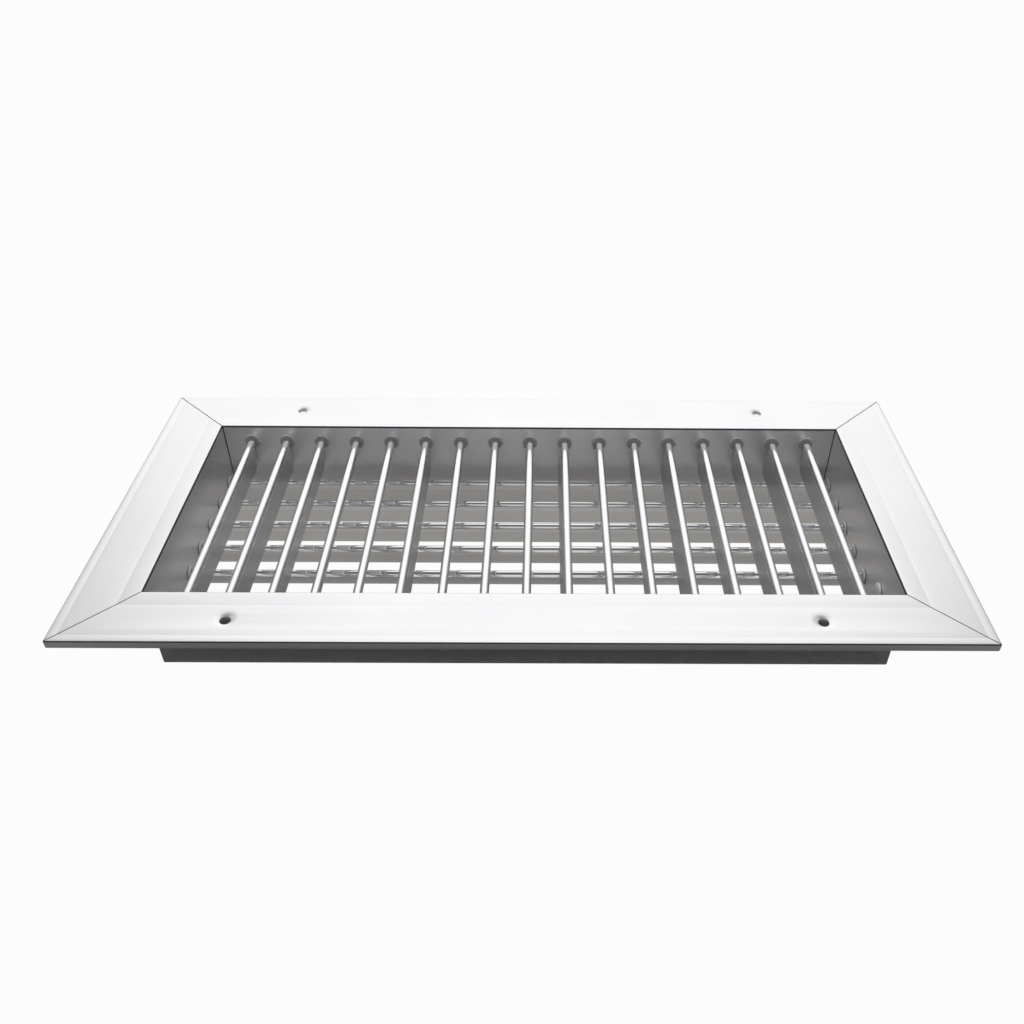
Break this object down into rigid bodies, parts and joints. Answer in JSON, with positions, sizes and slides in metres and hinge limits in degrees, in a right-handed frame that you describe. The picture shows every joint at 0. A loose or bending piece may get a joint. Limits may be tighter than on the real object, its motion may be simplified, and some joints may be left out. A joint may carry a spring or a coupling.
{
  "type": "double deflection grille",
  "caption": "Double deflection air grille in natural aluminium: mitred flanged frame, vertical front blades and horizontal rear blades, each turning in nylon bushes",
  "frame": {"origin": "middle of the frame, on the plane of the neck's rim", "axes": "+X to the right along the long side as seen from the face, +Y across the blades of the rear row towards the back rail, +Z out of the face"},
  "size_m": [0.4172, 0.2092, 0.045],
  "materials": {
    "frame": "extruded aluminium, satin natural anodised",
    "blades": "extruded aluminium, smooth natural anodised, fairly glossy",
    "keys": "zinc plated steel strip",
    "bushes": "moulded nylon, off-white",
    "plug": "moulded nylon, white"
  },
  "bodies": {
    "frame": {"front_rail": "frame", "back_rail": "frame", "left_rail": "frame", "right_rail": "frame", "front_left_key": "keys", "front_right_key": "keys", "back_left_key": "keys", "back_right_key": "keys", "left_bush_01": "bushes", "left_bush_02": "bushes", "left_bush_03": "bushes", "left_bush_04": "bushes", "left_bush_05": "bushes", "left_bush_06": "bushes", "left_bush_07": "bushes", "right_bush_01": "bushes", "right_bush_02": "bushes", "right_bush_03": "bushes", "right_bush_04": "bushes", "right_bush_05": "bushes", "right_bush_06": "bushes", "right_bush_07": "bushes", "right_wall_plug": "plug"},
    "front_blade_01": {"front_blade_01": "blades"},
    "front_blade_02": {"front_blade_02": "blades"},
    "front_blade_03": {"front_blade_03": "blades"},
    "front_blade_04": {"front_blade_04": "blades"},
    "front_blade_05": {"front_blade_05": "blades"},
    "front_blade_06": {"front_blade_06": "blades"},
    "front_blade_07": {"front_blade_07": "blades"},
    "front_blade_08": {"front_blade_08": "blades"},
    "front_blade_09": {"front_blade_09": "blades"},
    "front_blade_10": {"front_blade_10": "blades"},
    "front_blade_11": {"front_blade_11": "blades"},
    "front_blade_12": {"front_blade_12": "blades"},
    "front_blade_13": {"front_blade_13": "blades"},
    "front_blade_14": {"front_blade_14": "blades"},
    "front_blade_15": {"front_blade_15": "blades"},
    "front_blade_16": {"front_blade_16": "blades"},
    "front_blade_17": {"front_blade_17": "blades"},
    "rear_blade_01": {"rear_blade_01": "blades"},
    "rear_blade_02": {"rear_blade_02": "blades"},
    "rear_blade_03": {"rear_blade_03": "blades"},
    "rear_blade_04": {"rear_blade_04": "blades"},
    "rear_blade_05": {"rear_blade_05": "blades"},
    "rear_blade_06": {"rear_blade_06": "blades"},
    "rear_blade_07": {"rear_blade_07": "blades"}
  },
  "joints": [
    {"name": "front_blade_01_pivot", "type": "hinge", "parent": "frame", "child": "front_blade_01", "pos_m": [-0.16, 0, 0.0354], "axis": [0, 1, 0], "range_deg": [-47, 43]},
    {"name": "front_blade_02_pivot", "type": "hinge", "parent": "frame", "child": "front_blade_02", "pos_m": [-0.14, 0, 0.0354], "axis": [0, 1, 0], "range_deg": [-42, 48]},
    {"name": "front_blade_03_pivot", "type": "hinge", "parent": "frame", "child": "front_blade_03", "pos_m": [-0.12, 0, 0.0354], "axis": [0, 1, 0], "range_deg": [-49, 41]},
    {"name": "front_blade_04_pivot", "type": "hinge", "parent": "frame", "child": "front_blade_04", "pos_m": [-0.1, 0, 0.0354], "axis": [0, 1, 0], "range_deg": [-57, 33]},
    {"name": "front_blade_05_pivot", "type": "hinge", "parent": "frame", "child": "front_blade_05", "pos_m": [-0.08, 0, 0.0354], "axis": [0, 1, 0], "range_deg": [-59, 31]},
    {"name": "front_blade_06_pivot", "type": "hinge", "parent": "frame", "child": "front_blade_06", "pos_m": [-0.06, 0, 0.0354], "axis": [0, 1, 0], "range_deg": [-40.5, 49.5]},
    {"name": "front_blade_07_pivot", "type": "hinge", "parent": "frame", "child": "front_blade_07", "pos_m": [-0.04, 0, 0.0354], "axis": [0, 1, 0], "range_deg": [-52, 38]},
    {"name": "front_blade_08_pivot", "type": "hinge", "parent": "frame", "child": "front_blade_08", "pos_m": [-0.02, 0, 0.0354], "axis": [0, 1, 0], "range_deg": [-48, 42]},
    {"name": "front_blade_09_pivot", "type": "hinge", "parent": "frame", "child": "front_blade_09", "pos_m": [0, 0, 0.0354], "axis": [0, 1, 0], "range_deg": [-52, 38]},
    {"name": "front_blade_10_pivot", "type": "hinge", "parent": "frame", "child": "front_blade_10", "pos_m": [0.02, 0, 0.0354], "axis": [0, 1, 0], "range_deg": [-55, 35]},
    {"name": "front_blade_11_pivot", "type": "hinge", "parent": "frame", "child": "front_blade_11", "pos_m": [0.04, 0, 0.0354], "axis": [0, 1, 0], "range_deg": [-45, 45]},
    {"name": "front_blade_12_pivot", "type": "hinge", "parent": "frame", "child": "front_blade_12", "pos_m": [0.06, 0, 0.0354], "axis": [0, 1, 0], "range_deg": [-47.5, 42.5]},
    {"name": "front_blade_13_pivot", "type": "hinge", "parent": "frame", "child": "front_blade_13", "pos_m": [0.08, 0, 0.0354], "axis": [0, 1, 0], "range_deg": [-55, 35]},
    {"name": "front_blade_14_pivot", "type": "hinge", "parent": "frame", "child": "front_blade_14", "pos_m": [0.1, 0, 0.0354], "axis": [0, 1, 0], "range_deg": [-47.5, 42.5]},
    {"name": "front_blade_15_pivot", "type": "hinge", "parent": "frame", "child": "front_blade_15", "pos_m": [0.12, 0, 0.0354], "axis": [0, 1, 0], "range_deg": [-48, 42]},
    {"name": "front_blade_16_pivot", "type": "hinge", "parent": "frame", "child": "front_blade_16", "pos_m": [0.14, 0, 0.0354], "axis": [0, 1, 0], "range_deg": [-54.5, 35.5]},
    {"name": "front_blade_17_pivot", "type": "hinge", "parent": "frame", "child": "front_blade_17", "pos_m": [0.16, 0, 0.0354], "axis": [0, 1, 0], "range_deg": [-47, 43]},
    {"name": "rear_blade_01_pivot", "type": "hinge", "parent": "frame", "child": "rear_blade_01", "pos_m": [0, -0.0618, 0.0125], "axis": [1, 0, 0], "range_deg": [-78, 12]},
    {"name": "rear_blade_02_pivot", "type": "hinge", "parent": "frame", "child": "rear_blade_02", "pos_m": [0, -0.0412, 0.0125], "axis": [1, 0, 0], "range_deg": [-76, 14]},
    {"name": "rear_blade_03_pivot", "type": "hinge", "parent": "frame", "child": "rear_blade_03", "pos_m": [0, -0.0206, 0.0125], "axis": [1, 0, 0], "range_deg": [-72, 18]},
    {"name": "rear_blade_04_pivot", "type": "hinge", "parent": "frame", "child": "rear_blade_04", "pos_m": [0, 0, 0.0125], "axis": [1, 0, 0], "range_deg": [-62, 28]},
    {"name": "rear_blade_05_pivot", "type": "hinge", "parent": "frame", "child": "rear_blade_05", "pos_m": [0, 0.0206, 0.0125], "axis": [1, 0, 0], "range_deg": [-54, 36]},
    {"name": "rear_blade_06_pivot", "type": "hinge", "parent": "frame", "child": "rear_blade_06", "pos_m": [0, 0.0412, 0.0125], "axis": [1, 0, 0], "range_deg": [-43.5, 46.5]},
    {"name": "rear_blade_07_pivot", "type": "hinge", "parent": "frame", "child": "rear_blade_07", "pos_m": [0, 0.0618, 0.0125], "axis": [1, 0, 0], "range_deg": [-45, 45]}
  ]
}
